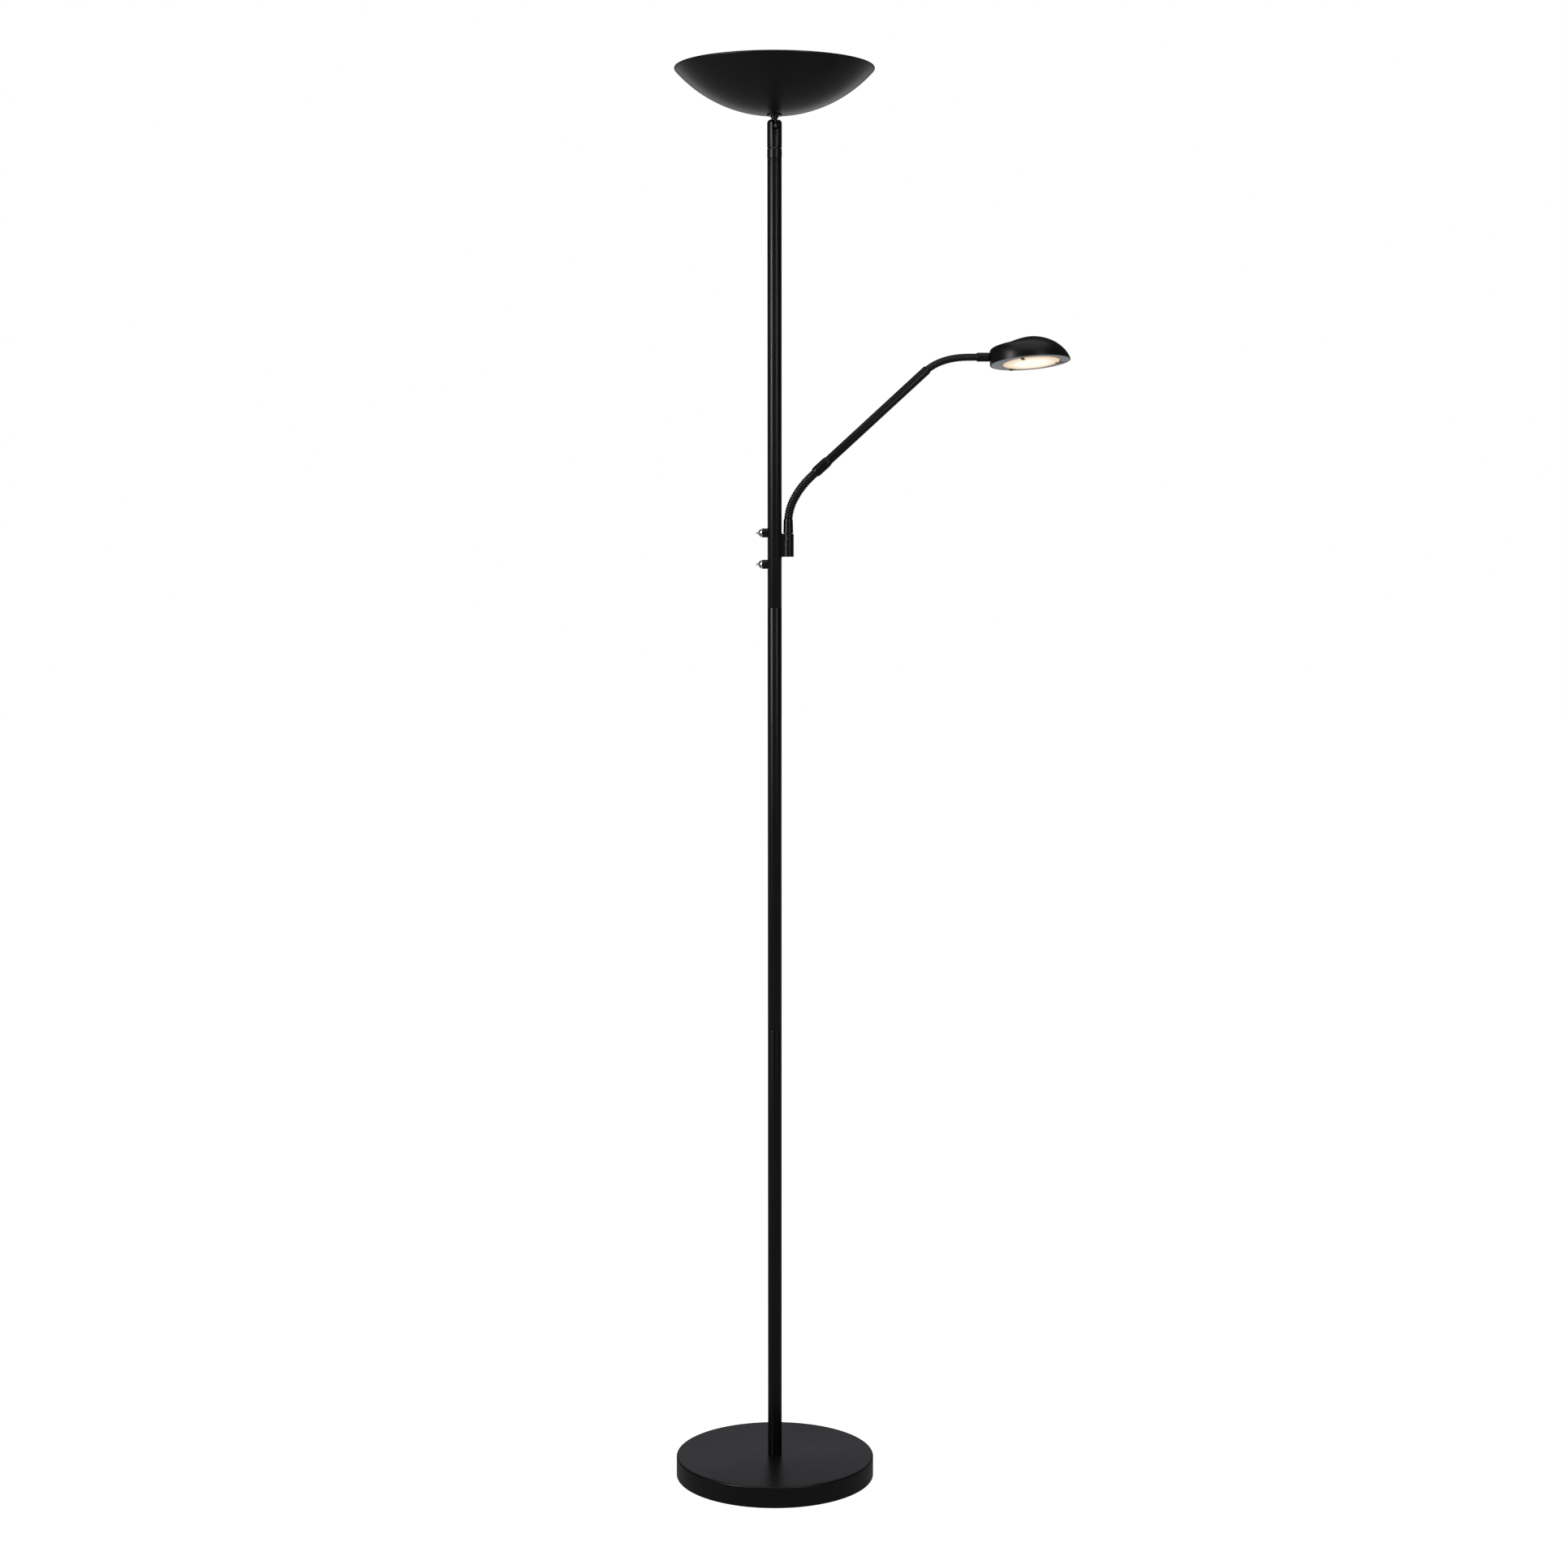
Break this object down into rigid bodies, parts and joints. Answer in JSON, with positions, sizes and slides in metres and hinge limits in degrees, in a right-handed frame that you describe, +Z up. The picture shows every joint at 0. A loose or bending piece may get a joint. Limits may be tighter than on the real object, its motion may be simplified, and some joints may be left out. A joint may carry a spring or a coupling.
{
  "type": "torchiere floor lamp",
  "caption": "Floor lamp with a round weighted base, a slim pole, a tilting bowl uplight on a knuckle, rotary dimmers and a flexible-neck reading arm with a domed head.",
  "frame": {"origin": "centre of the base's underside, on the floor", "axes": "+Z up the pole, +X towards the reading arm at rest, -Y towards the viewer, with the dimmers on the -X side"},
  "size_m": [0.5001, 0.2575, 1.7985],
  "materials": {
    "black_coat": "matte black powder coat",
    "neck_black": "satin black",
    "head_black": "satin black",
    "pad": "foam pad",
    "iron": "raw casting",
    "steel": "zinc plated",
    "brass": "turned",
    "tongue": "turned steel",
    "chrome": "polished",
    "white_paint": "white reflector paint",
    "driver_case": "moulded case",
    "board": "white circuit board",
    "dimmer_body": "moulded",
    "wire": "insulated wire",
    "opal": "opal diffuser",
    "lens": "warm lit opal diffuser",
    "silver_ring": "silver grey paint"
  },
  "bodies": {
    "stand": {"base_pad": "pad", "base_weight": "iron", "base_cover": "black_coat", "base_nipple": "brass", "base_washer": "steel", "base_nut": "steel", "cord_gland": "pad", "pole_foot_insert": "steel", "lower_pole_tube": "black_coat", "lower_pole_coupler": "steel", "middle_pole_tube": "black_coat", "upper_pole_coupler": "steel", "upper_pole_tube": "black_coat", "pole_top_insert": "steel", "swivel_ring": "black_coat", "swivel_snap_ring": "steel", "pole_wiring": "wire", "dimmer_modules": "dimmer_body", "dimmer_barrels": "black_coat", "arm_bracket": "black_coat", "bracket_grub_screw": "black_coat"},
    "knuckle": {"knuckle_fork": "black_coat", "knuckle_pin": "steel"},
    "uplight": {"knuckle_tongue": "tongue", "bowl_flange": "black_coat", "bowl": "black_coat", "bowl_nut": "steel", "driver_tray": "steel", "led_driver": "driver_case", "reflector_plate": "white_paint", "led_board": "board", "diffuser": "opal", "diffuser_clips": "steel", "plate_screws": "steel"},
    "upper_dimmer_knob": {"upper_knob": "chrome"},
    "lower_dimmer_knob": {"lower_knob": "chrome"},
    "arm_foot": {"arm_ferrule": "black_coat"},
    "lower_neck_link_1": {"lower_neck_link_1": "neck_black"},
    "lower_neck_link_2": {"lower_neck_link_2": "neck_black"},
    "lower_neck_link_3": {"lower_neck_link_3": "neck_black"},
    "lower_neck_link_4": {"lower_neck_link_4": "neck_black"},
    "lower_neck_link_5": {"lower_neck_link_5": "neck_black"},
    "reading_arm": {"arm_sleeve": "black_coat", "arm_tube": "black_coat", "arm_tube_bush": "black_coat"},
    "upper_neck_link_1": {"upper_neck_link_1": "neck_black"},
    "upper_neck_link_2": {"upper_neck_link_2": "neck_black"},
    "upper_neck_link_3": {"upper_neck_link_3": "neck_black"},
    "upper_neck_link_4": {"upper_neck_link_4": "neck_black"},
    "upper_neck_link_5": {"upper_neck_link_5": "neck_black"},
    "upper_neck_link_6": {"upper_neck_link_6": "neck_black"},
    "reading_head": {"head_ferrule": "black_coat", "head_nut": "steel", "head_shell": "head_black", "head_ring": "silver_ring", "head_led_board": "board", "head_lens": "lens", "head_clips": "steel", "head_screws": "steel"}
  },
  "joints": [
    {"name": "uplight_swivel", "type": "hinge", "parent": "stand", "child": "knuckle", "pos_m": [0, 0, 1.6996], "axis": [0, 0, 1], "range_deg": [-170, 170]},
    {"name": "uplight_tilt", "type": "hinge", "parent": "knuckle", "child": "uplight", "pos_m": [0, 0, 1.7275], "axis": [0.9848, 0.1736, 0], "range_deg": [-85, 85]},
    {"name": "upper_dimmer_turn", "type": "hinge", "parent": "stand", "child": "upper_dimmer_knob", "pos_m": [-0.018, 0, 1.2219], "axis": [-1, 0, 0], "range_deg": [0, 270]},
    {"name": "lower_dimmer_turn", "type": "hinge", "parent": "stand", "child": "lower_dimmer_knob", "pos_m": [-0.018, 0, 1.1824], "axis": [-1, 0, 0], "range_deg": [0, 270]},
    {"name": "reading_arm_swivel", "type": "hinge", "parent": "stand", "child": "arm_foot", "pos_m": [0.0172, 0, 1.2209], "axis": [0, 0, 1], "range_deg": [-75, 75]},
    {"name": "lower_neck_bend_1", "type": "hinge", "parent": "arm_foot", "child": "lower_neck_link_1", "pos_m": [0.0172, 0, 1.2403], "axis": [0, 1, 0], "range_deg": [-10, 10]},
    {"name": "lower_neck_side_1", "type": "hinge", "parent": "lower_neck_link_1", "child": "lower_neck_link_2", "pos_m": [0.01956, 0, 1.25344], "axis": [-0.9563, 0, 0.2924], "range_deg": [-10, 10]},
    {"name": "lower_neck_bend_2", "type": "hinge", "parent": "lower_neck_link_2", "child": "lower_neck_link_3", "pos_m": [0.02495, 0, 1.26565], "axis": [0, 1, 0], "range_deg": [-10, 10]},
    {"name": "lower_neck_side_2", "type": "hinge", "parent": "lower_neck_link_3", "child": "lower_neck_link_4", "pos_m": [0.03207, 0, 1.27695], "axis": [-0.8111, 0, 0.585], "range_deg": [-10, 10]},
    {"name": "lower_neck_bend_3", "type": "hinge", "parent": "lower_neck_link_4", "child": "lower_neck_link_5", "pos_m": [0.04054, 0, 1.28727], "axis": [0, 1, 0], "range_deg": [-10, 10]},
    {"name": "lower_neck_side_3", "type": "hinge", "parent": "lower_neck_link_5", "child": "reading_arm", "pos_m": [0.05021, 0, 1.29647], "axis": [-0.6826, 0, 0.7308], "range_deg": [-10, 10]},
    {"name": "upper_neck_bend_1", "type": "hinge", "parent": "reading_arm", "child": "upper_neck_link_1", "pos_m": [0.19294, 0, 1.42727], "axis": [0, 1, 0], "range_deg": [-10, 10]},
    {"name": "upper_neck_side_1", "type": "hinge", "parent": "upper_neck_link_1", "child": "upper_neck_link_2", "pos_m": [0.2018, 0, 1.43291], "axis": [-0.4648, 0, 0.8854], "range_deg": [-10, 10]},
    {"name": "upper_neck_bend_2", "type": "hinge", "parent": "upper_neck_link_2", "child": "upper_neck_link_3", "pos_m": [0.21147, 0, 1.437], "axis": [0, 1, 0], "range_deg": [-10, 10]},
    {"name": "upper_neck_side_2", "type": "hinge", "parent": "upper_neck_link_3", "child": "upper_neck_link_4", "pos_m": [0.22161, 0, 1.43973], "axis": [-0.2036, 0, 0.979], "range_deg": [-10, 10]},
    {"name": "upper_neck_bend_3", "type": "hinge", "parent": "upper_neck_link_4", "child": "upper_neck_link_5", "pos_m": [0.232, 0, 1.44126], "axis": [0, 1, 0], "range_deg": [-10, 10]},
    {"name": "upper_neck_side_3", "type": "hinge", "parent": "upper_neck_link_5", "child": "upper_neck_link_6", "pos_m": [0.24248, 0, 1.44178], "axis": [-0.027, 0, 0.9996], "range_deg": [-10, 10]},
    {"name": "upper_neck_bend_4", "type": "hinge", "parent": "upper_neck_link_6", "child": "reading_head", "pos_m": [0.25298, 0, 1.44183], "axis": [0, 1, 0], "range_deg": [-10, 10]}
  ],
  "couplings": [
    {"joint": "lower_neck_bend_2", "follows": "lower_neck_bend_1", "ratio": 1},
    {"joint": "lower_neck_side_2", "follows": "lower_neck_side_1", "ratio": 1},
    {"joint": "lower_neck_bend_3", "follows": "lower_neck_bend_1", "ratio": 1},
    {"joint": "lower_neck_side_3", "follows": "lower_neck_side_1", "ratio": 1},
    {"joint": "upper_neck_bend_2", "follows": "upper_neck_bend_1", "ratio": 1},
    {"joint": "upper_neck_side_2", "follows": "upper_neck_side_1", "ratio": 1},
    {"joint": "upper_neck_bend_3", "follows": "upper_neck_bend_1", "ratio": 1},
    {"joint": "upper_neck_side_3", "follows": "upper_neck_side_1", "ratio": 1},
    {"joint": "upper_neck_bend_4", "follows": "upper_neck_bend_1", "ratio": 1}
  ]
}
